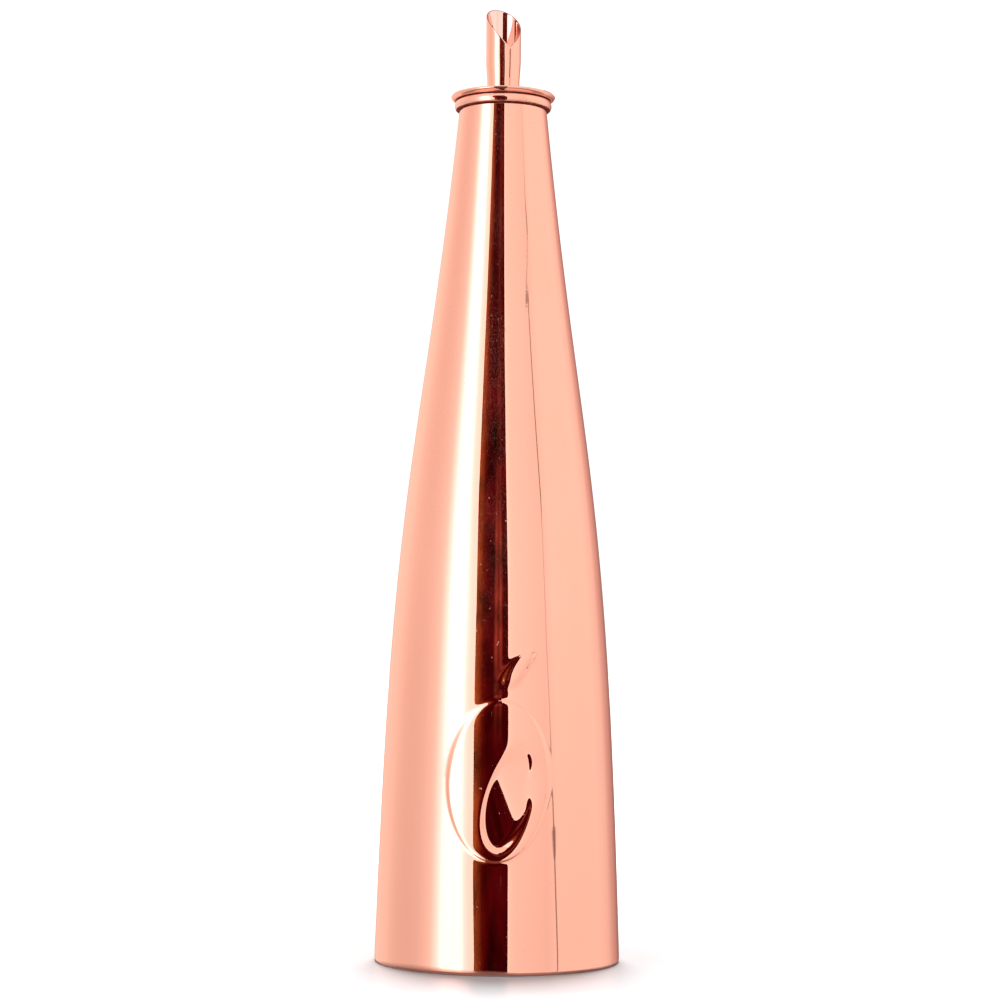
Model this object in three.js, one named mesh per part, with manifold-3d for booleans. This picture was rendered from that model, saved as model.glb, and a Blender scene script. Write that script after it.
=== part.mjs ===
// Pouring bottle for olive oil: a tall drawn-steel shell with a raised olive on its front, and a
// lift-out pourer whose slanted spout rises from a flared drip dish. Millimetres, +Z up, the front
// faces -Y, and z = 0 is the table that the foot stands on.
import * as THREE from 'three';
import { mergeVertices } from 'three/addons/utils/BufferGeometryUtils.js';
import Module from 'manifold-3d';

const wasm = await Module();
wasm.setup();

// Driving dimensions.
const gap = 0.3;                 // clearance between neighbouring pieces
const sheet = 0.8;               // steel sheet of the bottle
const baseRadius = 38;
const neckRadius = 13.8;
const neckHeight = 266.5;        // where the neck turns upright, under the mouth ring
const mouthHeight = 269.5;
const lowerHandle = [33.6, 157]; // handles of the wall's curve: radius, height
const upperHandle = [25.1, 154];
const footRounding = 1.2;        // between the wall and the foot
const footArcEnd = -15;          // degrees below level where the foot's arc meets the wall
const footInnerRadius = 33;

const ringRadius = 15.3;         // bead around the mouth
const ringRounding = 0.9;
const ringUndercut = 0.1;        // between the bead and the shoulder of the neck

const plateRecess = 3;           // the middle of the base stands this far off the table
const plateFoot = 0.4;
const plateStepRadius = 29;
const plateStepWidth = 3;

const dishRimRadius = 16.45;
const dishRimHeight = 270.9;
const dishSheet = 0.6;
const dishSeatHeight = mouthHeight + gap;
const dishFloorHeight = 267.8;
const dishFloorRadius = 11.2;
const dishFloorRise = 0.5;       // the floor drains towards the spout by this much
const dishStepRadius = 12.3;     // where the flat seat starts
const dishFlareStart = 14.3;     // where the seat turns up into the flared rim
const dishFlareBend = 15.7;

const spoutRadius = 5.1;
const spoutTipRadius = 5.5;
const spoutSheet = 0.5;
const spoutBottom = 245;
const spoutFlareStart = 275;     // the tube widens a little from here to the notch
const notchHeight = 286;         // lowest point of the slanted cut
const notchLead = 1;             // the tube is straight for this much under the notch
const cutRise = 14.2;            // from the notch up to the point of the spout
const cutCusp = 0.7;             // share of the cut that is a sharp V, the rest is a round slope
const notchTurn = 22.5;          // degrees from the front towards +X

const plugRadius = 11.6;
const plugBottom = 248;
const plugTop = 267.4;
const plugChamfer = 1;
const sealHeights = [264.4, 258.4, 252.4];
const sealThickness = 2;
const grooveRadius = 10.3;

const ventRadius = 1.1;
const ventBore = 0.6;
const drainRadius = 0.9;         // hole in the dish, over the vent tube
const ventOffset = 8.1;          // behind the spout
const ventBottom = 239;

// The raised olive, seen from the front: x and z of its centre, half sizes, lean in degrees.
const olive = { x: 0, z: 57.3, halfWidth: 15.4, halfHeight: 24.2, lean: -3 };
const oliveSteps = [{ scale: 1, proud: 0.4 }, { scale: 0.9, proud: 0.8 }];
// The sunken oval on it, with the depth of its steps under the olive's face.
const hollow = { x: 3.1, z: 51.7, halfWidth: 7.1, halfHeight: 15.8, lean: -15 };
const hollowSteps = [{ scale: 1, depth: 0.4 }, { scale: 0.75, depth: 0.8 }];
const leafRoot = [2.3, 82.5];
const leafTip = [10.8, 98];
const leafWidth = 6.2;
const leafProud = 0.5;
const reliefLow = 28;            // heights between which the wall carries the olive and its leaf
const reliefHigh = 100;

const around = 48;               // facets around the bottle
const aroundSmall = 32;          // facets around the spout and the plug
const wallSteps = 15;            // facets up the wall, outside and inside
const innerWallSteps = 10;
const reliefSteps = 8;
const ovalSegments = 16;         // facets around an oval of the relief
const aroundPin = 12;            // facets around the vent tube and its holes
const clear = 1;                 // how far a cutting solid runs past the face that it cuts

// Materials.
const copper = new THREE.MeshStandardMaterial({ color: 0xeea58c, roughness: 0.05, metalness: 1 });
const steel = new THREE.MeshStandardMaterial({ color: 0xc9c9cc, roughness: 0.3, metalness: 1 });
const plastic = new THREE.MeshStandardMaterial({ color: 0x26262a, roughness: 0.5, metalness: 0 });
const silicone = new THREE.MeshStandardMaterial({ color: 0xd8d8d4, roughness: 0.6, metalness: 0 });

// An outline of [radius, height] pairs turned about +Z. Its order is anticlockwise with radius to
// the right and height upwards.
function revolve(outline, facets) {
  const onAxis = outline[0][0] === 0;
  const closed = onAxis ? outline : [...outline, outline[0]];
  const points = closed.map(([radius, height]) => new THREE.Vector2(radius, height));
  const geometry = new THREE.LatheGeometry(points, facets);
  geometry.rotateX(Math.PI / 2);
  return welded(geometry);
}

function welded(geometry) {
  geometry.deleteAttribute('normal');
  geometry.deleteAttribute('uv');
  return mergeVertices(geometry, 1e-4);
}

function toSolid(geometry) {
  return new wasm.Manifold(new wasm.Mesh({
    numProp: 3,
    vertProperties: new Float32Array(geometry.attributes.position.array),
    triVerts: new Uint32Array(geometry.index.array),
  }));
}

function toGeometry(solid) {
  const { vertProperties, triVerts } = solid.getMesh();
  const geometry = new THREE.BufferGeometry();
  geometry.setAttribute('position', new THREE.BufferAttribute(vertProperties, 3));
  geometry.setIndex(new THREE.BufferAttribute(triVerts, 1));
  return geometry;
}

// Points of an arc from one angle to another, in degrees, both ends included.
function arc(radius, height, size, from, to, steps) {
  return Array.from({ length: steps + 1 }, (_, i) => {
    const angle = THREE.MathUtils.degToRad(from + (to - from) * i / steps);
    return [radius + size * Math.cos(angle), height + size * Math.sin(angle)];
  });
}

// The outer wall's curve, as [radius, height] pairs from one height to another.
const wallCurve = new THREE.CubicBezierCurve(
  new THREE.Vector2(baseRadius, 0),
  new THREE.Vector2(...lowerHandle),
  new THREE.Vector2(...upperHandle),
  new THREE.Vector2(neckRadius, neckHeight),
);

function wallRadius(height) {
  let low = 0;
  let high = 1;
  for (let i = 0; i < 40; i++) {
    const middle = (low + high) / 2;
    if (wallCurve.getPoint(middle).y < height) low = middle;
    else high = middle;
  }
  return wallCurve.getPoint(low).x;
}

function wallPoints(from, to, steps, offset) {
  return Array.from({ length: steps + 1 }, (_, i) => {
    const height = from + (to - from) * i / steps;
    return [wallRadius(height) + offset, height];
  });
}

// A prism along Y, through the front wall, from an outline drawn in x and z.
function frontPrism(shape) {
  const geometry = new THREE.ExtrudeGeometry(shape, {
    depth: baseRadius + clear, bevelEnabled: false, curveSegments: ovalSegments,
  });
  geometry.rotateX(Math.PI / 2);
  return toSolid(welded(geometry));
}

function ovalShape(oval, scale) {
  const shape = new THREE.Shape();
  const lean = THREE.MathUtils.degToRad(oval.lean);
  const halfWidth = oval.halfWidth * scale;
  const halfHeight = oval.halfHeight * scale;
  shape.absellipse(oval.x, oval.z, halfWidth, halfHeight, 0, 2 * Math.PI, false, lean);
  return shape;
}

function leafShape() {
  const root = new THREE.Vector2(...leafRoot);
  const tip = new THREE.Vector2(...leafTip);
  const middle = root.clone().lerp(tip, 0.5);
  const side = tip.clone().sub(root).rotateAround(new THREE.Vector2(), Math.PI / 2).setLength(leafWidth);
  const left = middle.clone().add(side);
  const right = middle.clone().sub(side);
  const shape = new THREE.Shape();
  shape.moveTo(root.x, root.y);
  shape.quadraticCurveTo(right.x, right.y, tip.x, tip.y);
  shape.quadraticCurveTo(left.x, left.y, root.x, root.y);
  return shape;
}

// The part of a layer that follows the wall, between two offsets from its face, inside a shape.
function wallPatch(shape, inner, outer) {
  const outline = [
    ...wallPoints(reliefLow, reliefHigh, reliefSteps, outer),
    ...wallPoints(reliefHigh, reliefLow, reliefSteps, inner),
  ];
  return frontPrism(shape).intersect(toSolid(revolve(outline, around)));
}

function bottleShell() {
  const centre = baseRadius - footRounding;
  const outline = [
    [footInnerRadius, 0],
    ...arc(centre, footRounding, footRounding, -90, footArcEnd, 4),
    ...wallPoints(footRounding, neckHeight, wallSteps, 0),
    [neckRadius, mouthHeight],
    [neckRadius - sheet, mouthHeight],
    ...wallPoints(neckHeight, footRounding, innerWallSteps, -sheet),
    ...arc(centre, footRounding, footRounding - sheet, footArcEnd, -90, 3),
    [footInnerRadius, sheet],
  ];
  const buried = -sheet / 2;
  let shell = toSolid(revolve(outline, around));
  for (const { scale, proud } of oliveSteps) {
    shell = shell.add(wallPatch(ovalShape(olive, scale), buried, proud));
  }
  shell = shell.add(wallPatch(leafShape(), buried, leafProud));
  const face = oliveSteps.at(-1).proud;
  for (const { scale, depth } of hollowSteps) {
    shell = shell.subtract(wallPatch(ovalShape(hollow, scale), face - depth, face + clear));
  }
  return toGeometry(shell);
}

function neckRing() {
  const inner = neckRadius + gap;
  const low = neckHeight + ringUndercut;
  const centre = ringRadius - ringRounding;
  return revolve([
    [inner, low],
    ...arc(centre, low + ringRounding, ringRounding, -90, 0, 3),
    ...arc(centre, mouthHeight - ringRounding, ringRounding, 0, 90, 3),
    [inner, mouthHeight],
  ], around);
}

function basePlate() {
  const rim = footInnerRadius - gap;
  const stepTop = plateStepRadius - plateStepWidth;
  return revolve([
    [0, plateRecess],
    [stepTop, plateRecess],
    [plateStepRadius, plateFoot],
    [rim, plateFoot],
    [rim, plateFoot + sheet],
    [plateStepRadius + gap, plateFoot + sheet],
    [stepTop + gap, plateRecess + sheet],
    [0, plateRecess + sheet],
  ], around);
}

// The dish's sheet: flared rim, flat seat on the mouth, sunken floor. Drawn from the spout outwards.
function dishFace(lift) {
  const rim = new THREE.QuadraticBezierCurve(
    new THREE.Vector2(dishFlareStart, dishSeatHeight),
    new THREE.Vector2(dishFlareBend, dishSeatHeight),
    new THREE.Vector2(dishRimRadius, dishRimHeight),
  );
  return [
    [spoutRadius + gap, dishFloorHeight + lift],
    [dishFloorRadius, dishFloorHeight + dishFloorRise + lift],
    [dishStepRadius, dishSeatHeight + lift],
    ...rim.getPoints(3).map(({ x, y }) => [x, y + lift]),
  ];
}

function dripDish() {
  const sheetSolid = toSolid(revolve([...dishFace(0), ...dishFace(dishSheet).reverse()], around));
  return toGeometry(sheetSolid.subtract(verticalPin(drainRadius, dishFloorHeight - clear, dishRimHeight)));
}

// A round pin on the vent's axis, used to cut its holes.
function verticalPin(radius, low, high) {
  const pin = new THREE.CylinderGeometry(radius, radius, high - low, aroundPin);
  pin.rotateX(Math.PI / 2);
  pin.translate(0, ventOffset, (low + high) / 2);
  return toSolid(welded(pin));
}

// Height of the spout's slanted edge at a turn, in radians, from the front towards +X.
function cutHeight(turn) {
  const fromNotch = turn - THREE.MathUtils.degToRad(notchTurn);
  const cusp = Math.abs(Math.sin(fromNotch / 2));
  const round = (1 - Math.cos(fromNotch)) / 2;
  return notchHeight + cutRise * (cutCusp * cusp + (1 - cutCusp) * round);
}

function spoutTube() {
  const geometry = revolve([
    [spoutRadius, spoutBottom],
    [spoutRadius, spoutFlareStart],
    [spoutTipRadius, notchHeight - notchLead],
    [spoutTipRadius, notchHeight],
    [spoutTipRadius - spoutSheet, notchHeight],
    [spoutTipRadius - spoutSheet, notchHeight - notchLead],
    [spoutRadius - spoutSheet, spoutFlareStart],
    [spoutRadius - spoutSheet, spoutBottom],
  ], aroundSmall);
  const position = geometry.attributes.position;
  for (let i = 0; i < position.count; i++) {
    if (position.getZ(i) > notchHeight - notchLead / 2) {
      const turn = Math.atan2(position.getX(i), -position.getY(i));
      position.setZ(i, cutHeight(turn));
    }
  }
  return geometry;
}

function plugCore() {
  const grooveHalf = sealThickness / 2 + gap;
  const grooves = sealHeights.toReversed().flatMap((height) => [
    [plugRadius, height - grooveHalf],
    [grooveRadius, height - grooveHalf],
    [grooveRadius, height + grooveHalf],
    [plugRadius, height + grooveHalf],
  ]);
  const core = toSolid(revolve([
    [spoutRadius + gap, plugBottom],
    [plugRadius - plugChamfer, plugBottom],
    [plugRadius, plugBottom + plugChamfer],
    ...grooves,
    [plugRadius, plugTop],
    [spoutRadius + gap, plugTop],
  ], aroundSmall));
  return toGeometry(core.subtract(verticalPin(ventRadius + gap, plugBottom - clear, plugTop + clear)));
}

function sealRing(height) {
  const centre = grooveRadius + gap + sealThickness / 2;
  return revolve(arc(centre, height, sealThickness / 2, 0, 315, 7), aroundSmall);
}

function ventTube() {
  const tube = revolve([
    [ventRadius, ventBottom],
    [ventRadius, plugTop],
    [ventBore, plugTop],
    [ventBore, ventBottom],
  ], aroundPin);
  tube.translate(0, ventOffset, 0);
  return tube;
}

const bottle = new THREE.Group();

function addPiece(name, geometry, material) {
  const mesh = new THREE.Mesh(geometry, material);
  mesh.name = name;
  bottle.add(mesh);
}

addPiece('bottle_shell', bottleShell(), copper);
addPiece('neck_ring', neckRing(), copper);
addPiece('base_plate', basePlate(), copper);
addPiece('drip_dish', dripDish(), copper);
addPiece('spout_tube', spoutTube(), copper);
addPiece('vent_tube', ventTube(), steel);
addPiece('plug_core', plugCore(), plastic);
sealHeights.forEach((height, i) => {
  addPiece(`seal_ring_${i + 1}`, sealRing(height), silicone);
});

export default bottle;
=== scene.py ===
"""Mirror-copper oil bottle with a lift-out pourer, in a plain white studio.

Lengths inside the shape functions are millimetres, as in the CAD source; MM turns them to metres
when a mesh is made. Materials and the studio are in metres and degrees. +Z is up, the front faces
-Y, and z = 0 is the floor. Angles round the axis start at the front and grow to the right.
"""

import math

import bpy
import numpy as np
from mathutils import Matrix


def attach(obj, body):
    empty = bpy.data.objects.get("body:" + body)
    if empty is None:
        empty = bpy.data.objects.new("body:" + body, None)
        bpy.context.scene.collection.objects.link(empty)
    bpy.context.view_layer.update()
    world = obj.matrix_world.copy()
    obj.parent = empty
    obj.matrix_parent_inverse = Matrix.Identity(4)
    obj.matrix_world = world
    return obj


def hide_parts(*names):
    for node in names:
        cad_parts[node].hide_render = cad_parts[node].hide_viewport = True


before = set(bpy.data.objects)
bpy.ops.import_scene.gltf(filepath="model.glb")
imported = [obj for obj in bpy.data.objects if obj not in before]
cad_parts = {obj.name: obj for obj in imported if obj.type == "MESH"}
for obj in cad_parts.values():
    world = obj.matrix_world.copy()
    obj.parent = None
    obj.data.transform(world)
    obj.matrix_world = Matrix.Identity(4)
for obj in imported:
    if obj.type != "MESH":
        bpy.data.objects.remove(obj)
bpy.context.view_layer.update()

MM = 0.001

# Driving sizes of the CAD model, in millimetres. GAP is the free play round a moving or loose piece
# and FIT the hairline between pieces that are pressed together.
BASE_R = 38.0
NECK_R = 13.8
NECK_Z = 266.5
MOUTH_Z = 269.5
WALL_HANDLES = ((33.6, 157.0), (25.1, 154.0))
SHEET = 0.8
GAP = 0.3
FIT = 0.05
FOOT_ROUNDING = 1.2
FOOT_INNER_R = 33.0
RING_R = 15.3
DISH_RIM_R = 16.45
DISH_RIM_Z = 270.9
DISH_FLOOR_Z = 267.8
DISH_FLOOR_R = 11.2
DISH_SHEET = 0.6
DRAIN_R = 0.9
SPOUT_R = 5.1
SPOUT_TIP_R = 5.5
SPOUT_SHEET = 0.5
SPOUT_BOTTOM = 245.0
SPOUT_FLARE_START = 275.0
NOTCH_Z = 286.0
CUT_RISE = 14.2
NOTCH_TURN = math.radians(22.5)
PLUG_R = 11.6
PLUG_BOTTOM = 248.0
PLUG_TOP = 267.4
GROOVE_R = 10.3
SEAL_THICKNESS = 2.0
SEAL_HEIGHTS = (264.4, 258.4, 252.4)
VENT_R = 1.1
VENT_BORE = 0.6
VENT_OFFSET = 8.1
VENT_BOTTOM = 239.0


# ---------------------------------------------------------------- camera

CAMERA_DISTANCE = 0.7824
CAMERA_HEIGHT = 0.0998
CAMERA_UP = math.radians(3.18)
CAMERA_ROLL = math.radians(0.43)
CAMERA_SIDE = 0.00027
LENS_MM = 89.85
SENSOR_MM = 36.0


def add_camera():
    data = bpy.data.cameras.new("camera")
    data.lens = LENS_MM
    data.sensor_width = SENSOR_MM
    data.clip_start = 0.01
    data.clip_end = 50.0
    camera = bpy.data.objects.new("camera", data)
    camera.location = (CAMERA_SIDE, -CAMERA_DISTANCE, CAMERA_HEIGHT)
    camera.rotation_mode = "XYZ"
    camera.rotation_euler = (math.pi / 2 + CAMERA_UP, -CAMERA_ROLL, 0.0)
    bpy.context.scene.collection.objects.link(camera)
    bpy.context.scene.camera = camera


# ---------------------------------------------------------------- node helpers


def grey(value):
    return (value, value, value, 1.0)


class Nodes:
    """Short ways to add and join shader nodes in one material or world."""

    def __init__(self, owner):
        owner.use_nodes = True
        self.tree = owner.node_tree
        self.tree.nodes.clear()

    def add(self, kind, settings=None, **sockets):
        """A node with its settings and sockets. A socket's name has _ for a space, or is a number."""
        node = self.tree.nodes.new(kind)
        for key, value in (settings or {}).items():
            setattr(node, key, value)
        for key, value in sockets.items():
            self.put(node, key.replace("_", " "), value)
        return node

    def put(self, node, socket, value):
        target = node.inputs[int(socket)] if socket.isdigit() else node.inputs[socket]
        if isinstance(value, bpy.types.NodeSocket):
            self.tree.links.new(value, target)
        else:
            target.default_value = value

    def surface(self, shader_kind, **sockets):
        """The shader, and the output that it goes to."""
        shader = self.add(shader_kind, **sockets)
        self.add("ShaderNodeOutputMaterial", Surface=shader.outputs[0])

    def math(self, operation, a, b=0.0, c=0.0, clamp=False):
        node = self.tree.nodes.new("ShaderNodeMath")
        node.operation = operation
        node.use_clamp = clamp
        self.put(node, "0", a)
        self.put(node, "1", b)
        self.put(node, "2", c)
        return node.outputs[0]

    def axes(self, vector):
        """The X, Y and Z of a vector."""
        return self.add("ShaderNodeSeparateXYZ", Vector=vector).outputs

    def vector(self, x, y):
        return self.add("ShaderNodeCombineXYZ", X=x, Y=y).outputs[0]

    def length(self, vector):
        node = self.add("ShaderNodeVectorMath", {"operation": "LENGTH"})
        self.put(node, "0", vector)
        return node.outputs["Value"]

    def turn(self, axes):
        """Angle round the axis from the front, positive to the right, in degrees."""
        towards = self.math("MULTIPLY", axes[1], -1.0)
        return self.math("DEGREES", self.math("ARCTAN2", axes[0], towards))

    def noise(self, vector, scale, detail=3.0):
        node = self.add("ShaderNodeTexNoise", Vector=vector, Scale=scale, Detail=detail)
        return node.outputs[0]

    def streaks(self, vector, scales, detail):
        """Noise with its own scale along each axis."""
        stretched = self.add("ShaderNodeMapping", Vector=vector, Scale=scales)
        return self.noise(stretched.outputs[0], 1.0, detail)

    def bump(self, height, strength, distance):
        node = self.add("ShaderNodeBump", Strength=strength, Distance=distance, Height=height)
        return node.outputs[0]

    def ramp(self, fac, stops):
        """The colour at fac, from (position, colour) stops with positions from 0 to 1."""
        node = self.tree.nodes.new("ShaderNodeValToRGB")
        elements = node.color_ramp.elements
        while len(elements) > 1:
            elements.remove(elements[-1])
        elements[0].position = stops[0][0]
        elements[0].color = stops[0][1]
        for position, color in stops[1:]:
            elements.new(position).color = color
        self.put(node, "Fac", fac)
        return node.outputs[0]

    def rise(self, value, start, end):
        """0 up to start, 1 from end on, and straight between them."""
        return self.ramp(value, [(start, grey(0.0)), (end, grey(1.0))])

    def curve(self, value, points):
        """A piecewise linear function of a value, through (input, output) points."""
        first, last = points[0][0], points[-1][0]
        outputs = [output for _, output in points]
        lowest, span = min(outputs), max(outputs) - min(outputs)
        share = self.math("DIVIDE", self.math("SUBTRACT", value, first), last - first)
        stops = [
            ((at - first) / (last - first), grey((output - lowest) / span))
            for at, output in points
        ]
        return self.math("MULTIPLY_ADD", self.ramp(share, stops), span, lowest)

    def mix(self, fac, a, b):
        node = self.add("ShaderNodeMix", {"data_type": "RGBA"})
        self.put(node, "0", fac)
        self.put(node, "6", a)
        self.put(node, "7", b)
        return node.outputs[2]


def new_material(name):
    """A material, its nodes, and the place on the piece in metres."""
    material = bpy.data.materials.new(name)
    n = Nodes(material)
    return material, n, n.add("ShaderNodeTexCoord").outputs["Object"]


# ---------------------------------------------------------------- copper

# Each plating drifts between two colours. It is thinner and paler inside the spout.
PLATING = ((0.985, 0.465, 0.342, 1.0), (0.975, 0.441, 0.316, 1.0))
THIN_PLATING = ((0.985, 0.620, 0.530, 1.0), (0.980, 0.590, 0.490, 1.0))
DRIFT_SCALE = 22.0

# Painted shade darkens the creases under the bead and under the dish, as (height, reach) in metres,
# and at the foot, where its reach depends on the angle from the front in degrees.
PAINTED_SHADE_COLOR = (0.075, 0.003, 0.001, 1.0)
UNDER_BEAD = (NECK_Z * MM, 0.23 * MM)
UNDER_BEAD_STRENGTH = 2.0
UNDER_DISH = ((MOUTH_Z + 0.05) * MM, 0.18 * MM)
FOOT_PAINTED_SHADE = 0.62
FOOT_REACH = [
    (-75, 0.00075), (-57, 0.00115), (-42, 0.0015), (-28, 0.0015), (-12, 0.00115), (0, 0.0011),
    (10, 0.00075),
]
PAINTED_SHADE_END = 1.6
PAINTED_SHADE_MOTTLE_SCALE = 420.0
PAINTED_SHADE_MOTTLE = [(0.3, 0.94), (0.6, 1.0)]
PAINTED_SHADE_MATTNESS = 0.95
PAINTED_SHADE_ROUGHNESS = 0.35

# Wiping marks are short hairlines in worn patches, some along the axis and some around it.
PATCH_SCALE = 55.0
WORN = (0.50, 0.66)
UPRIGHT_SCALES = (2600.0, 2600.0, 90.0)
UPRIGHT_LINES = (0.68, 0.74)
LEVEL_SCALES = (160.0, 160.0, 3200.0)
LEVEL_LINES = (0.70, 0.76)
LINE_ROUGHNESS = 0.22
LINE_DEPTH = -0.02

# Dust lies as tiny pale specks, and as a film of finer specks on the slope of the neck.
DUST_COLOR = (0.72, 0.34, 0.22, 1.0)
DUST_SCALE = 1150.0
DUST_SPECKS = (0.770, 0.800)
DUST_COVER = 0.5
DUST_ROUGHNESS = 0.5
FILM_SCALE = 2600.0
FILM_SPECKS = (0.48, 0.70)
FILM_BY_PATCH = [(0.35, 0.02), (0.62, 0.09)]
FILM_BY_HEIGHT = [(0.08, 0.0), (0.15, 1.0)]

# Polish: a low roughness with a cloudy haze, and the slight unevenness of spun sheet.
POLISH_ROUGHNESS = 0.012
HAZE_SCALE = 38.0
HAZE_ROUGHNESS = 0.018
WAVE_SCALES = (90.0, 90.0, 31.5)
GRAIN_SCALE = 1700.0
GRAIN_DEPTH = 0.07
RELIEF_DISTANCE = 0.00001
COPPER_SPECULAR = 0.05


def near_height(n, height, middle, reach):
    """1 near a height, then falling over one reach to 0 at PAINTED_SHADE_END reaches from it."""
    away = n.math("ABSOLUTE", n.math("SUBTRACT", height, middle))
    return n.math("SUBTRACT", PAINTED_SHADE_END, n.math("DIVIDE", away, reach), clamp=True)


def painted_shade_share(n, place):
    """How much painted shade darkens the plating, in the creases and at the foot."""
    axes = n.axes(place)
    under_bead = near_height(n, axes[2], *UNDER_BEAD)
    under_bead = n.math("MULTIPLY", under_bead, UNDER_BEAD_STRENGTH, clamp=True)
    under_dish = near_height(n, axes[2], *UNDER_DISH)
    # The foot's painted shade is a dark band on the rounding, wider towards the left front.
    foot = near_height(n, axes[2], 0.0, n.curve(n.turn(axes), FOOT_REACH))
    share = n.math("MAXIMUM", under_bead, under_dish)
    share = n.math("MAXIMUM", share, n.math("MULTIPLY", foot, FOOT_PAINTED_SHADE))
    mottle = n.curve(n.noise(place, PAINTED_SHADE_MOTTLE_SCALE), PAINTED_SHADE_MOTTLE)
    return n.math("MULTIPLY", share, mottle)


def copper_material(name, plating):
    """Mirror-polished copper plating with light wear and dust, and painted shade in the creases and at
    the foot.
    """
    material, n, place = new_material(name)
    painted_shade = painted_shade_share(n, place)

    patches = n.noise(place, PATCH_SCALE, 2.0)
    upright = n.rise(n.streaks(place, UPRIGHT_SCALES, 2.0), *UPRIGHT_LINES)
    level = n.rise(n.streaks(place, LEVEL_SCALES, 2.0), *LEVEL_LINES)
    lines = n.math("MULTIPLY", n.math("MAXIMUM", upright, level), n.rise(patches, *WORN))

    dust = n.math("MULTIPLY", n.rise(n.noise(place, DUST_SCALE, 1.0), *DUST_SPECKS), DUST_COVER)
    film = n.rise(n.noise(place, FILM_SCALE, 2.0), *FILM_SPECKS)
    film = n.math("MULTIPLY", film, n.curve(patches, FILM_BY_PATCH))
    film = n.math("MULTIPLY", film, n.curve(n.axes(place)[2], FILM_BY_HEIGHT))
    cover = n.math("MAXIMUM", dust, film)

    color = n.mix(n.noise(place, DRIFT_SCALE, 2.0), *plating)
    # Painted shade: the creases under the bead and the dish, and a band at the foot, turn dark and
    # matt.
    color = n.mix(painted_shade, color, PAINTED_SHADE_COLOR)
    color = n.mix(cover, color, DUST_COLOR)
    metallic = n.math("SUBTRACT", 1.0, cover)
    metallic = n.math("SUBTRACT", metallic, n.math("MULTIPLY", painted_shade, PAINTED_SHADE_MATTNESS))

    haze = n.math("MULTIPLY", n.noise(place, HAZE_SCALE), HAZE_ROUGHNESS)
    roughness = n.math("ADD", haze, POLISH_ROUGHNESS)
    roughness = n.math("ADD", roughness, n.math("MULTIPLY", lines, LINE_ROUGHNESS))
    roughness = n.math("MULTIPLY_ADD", dust, DUST_ROUGHNESS, roughness)
    roughness = n.math("MULTIPLY_ADD", painted_shade, PAINTED_SHADE_ROUGHNESS, roughness)

    relief = n.math("MULTIPLY_ADD", lines, LINE_DEPTH, n.streaks(place, WAVE_SCALES, 2.0))
    relief = n.math("MULTIPLY_ADD", n.noise(place, GRAIN_SCALE, 1.0), GRAIN_DEPTH, relief)

    n.surface(
        "ShaderNodeBsdfPrincipled", Base_Color=color, Metallic=metallic, Roughness=roughness,
        Specular_IOR_Level=COPPER_SPECULAR, Normal=n.bump(relief, 1.0, RELIEF_DISTANCE),
    )
    return material


# ---------------------------------------------------------------- other materials

FINE_RELIEF = 0.00002


def tarnished_material():
    """Raw cut edge of the plated sheet, browned and a little rough."""
    material, n, place = new_material("tarnished_edge")
    mottle = n.noise(place, 900.0)
    n.surface(
        "ShaderNodeBsdfPrincipled", Metallic=1.0,
        Base_Color=n.mix(mottle, (0.16, 0.040, 0.028, 1.0), (0.52, 0.20, 0.15, 1.0)),
        Roughness=n.math("MULTIPLY_ADD", mottle, 0.2, 0.15),
        Normal=n.bump(mottle, 0.4, FINE_RELIEF),
    )
    return material


def drawn_steel_material():
    """Bare stainless tube with the fine lines of drawing along it."""
    material, n, place = new_material("drawn_steel")
    lines = n.streaks(place, (4200.0, 4200.0, 60.0), 3.0)
    n.surface(
        "ShaderNodeBsdfPrincipled", Metallic=1.0,
        Base_Color=n.mix(lines, (0.50, 0.49, 0.48, 1.0), (0.66, 0.65, 0.64, 1.0)),
        Roughness=n.math("MULTIPLY_ADD", lines, 0.18, 0.18),
        Normal=n.bump(lines, 0.3, FINE_RELIEF),
    )
    return material


def stopper_material():
    """Dark moulded plastic with a fine spark-eroded grain."""
    material, n, place = new_material("stopper_plastic")
    cloud = n.noise(place, 160.0)
    grain = n.noise(place, 3200.0, 2.0)
    n.surface(
        "ShaderNodeBsdfPrincipled",
        Base_Color=n.mix(cloud, (0.018, 0.018, 0.020, 1.0), (0.032, 0.031, 0.033, 1.0)),
        Roughness=n.math("MULTIPLY_ADD", cloud, 0.2, 0.38),
        Normal=n.bump(grain, 0.6, FINE_RELIEF),
    )
    return material


def silicone_material():
    """Milky silicone, a little oily and dusty."""
    material, n, place = new_material("silicone")
    cloud = n.noise(place, 220.0)
    dust = n.noise(place, 2600.0, 2.0)
    n.surface(
        "ShaderNodeBsdfPrincipled", Subsurface_Weight=0.3, Subsurface_Scale=0.002,
        Base_Color=n.mix(cloud, (0.66, 0.66, 0.63, 1.0), (0.78, 0.78, 0.75, 1.0)),
        Roughness=n.math("MULTIPLY_ADD", cloud, 0.25, 0.3),
        Normal=n.bump(dust, 0.3, FINE_RELIEF),
    )
    return material


# ---------------------------------------------------------------- outlines and meshes


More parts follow.
